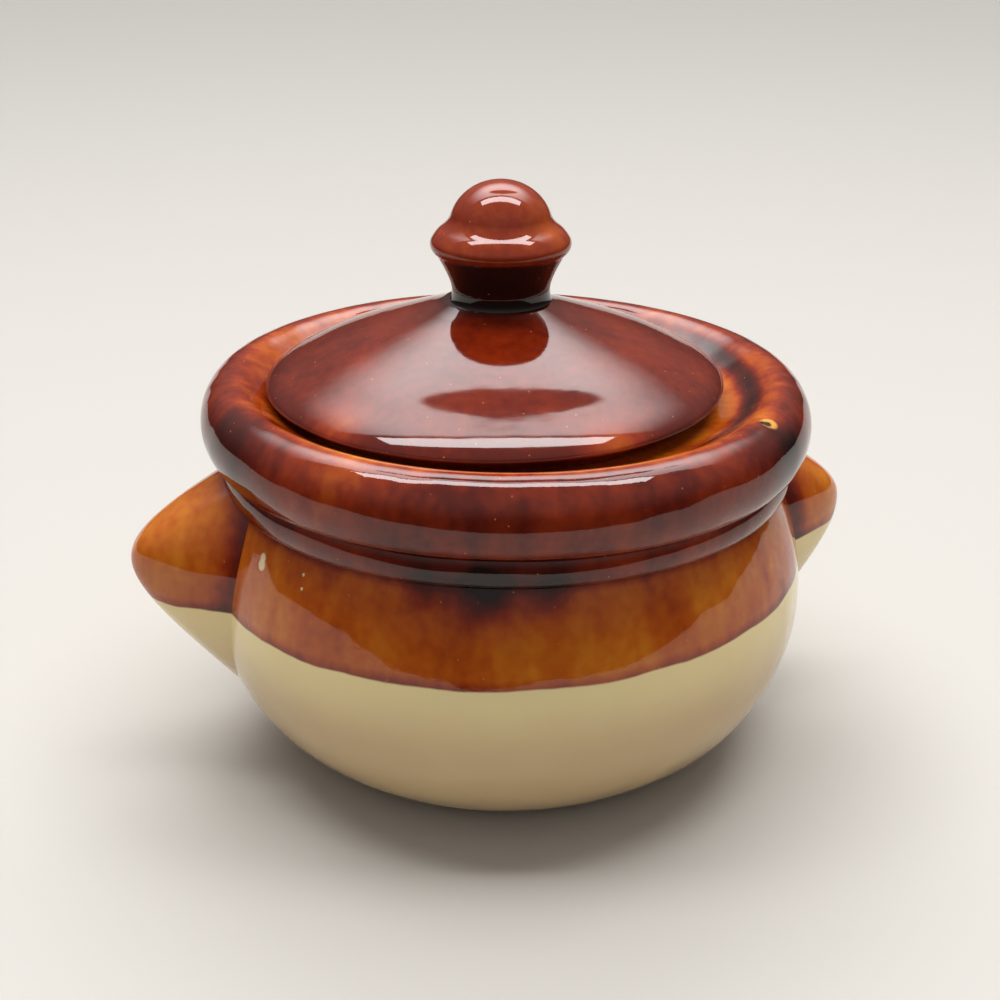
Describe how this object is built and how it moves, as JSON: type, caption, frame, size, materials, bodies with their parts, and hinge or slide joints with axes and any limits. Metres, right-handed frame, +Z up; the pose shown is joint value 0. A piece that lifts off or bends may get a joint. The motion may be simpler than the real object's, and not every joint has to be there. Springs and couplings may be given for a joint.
{
  "type": "lidded bean pot",
  "caption": "Small round-bellied stoneware pot with a rolled rim, solid lug handles and a loose domed lid with a turned knob, for baking and serving beans or soup.",
  "frame": {"origin": "middle of the foot, on the table", "axes": "+Z up along the pot's axis, X along the line through both handles"},
  "size_m": [0.153, 0.124, 0.118],
  "materials": {
    "pot_glaze": "glossy brown glaze over glossy cream glaze",
    "lid_glaze": "glossy dark red-brown glaze"
  },
  "bodies": {
    "pot": {"pot_bowl": "pot_glaze", "left_handle": "pot_glaze", "right_handle": "pot_glaze"},
    "lid": {"lid_plate": "lid_glaze", "lid_knob": "lid_glaze"}
  },
  "joints": [
    {"name": "lid_lift", "type": "slide", "parent": "pot", "child": "lid", "axis": [0, 0, 1], "range_m": [0, 0.1]}
  ]
}
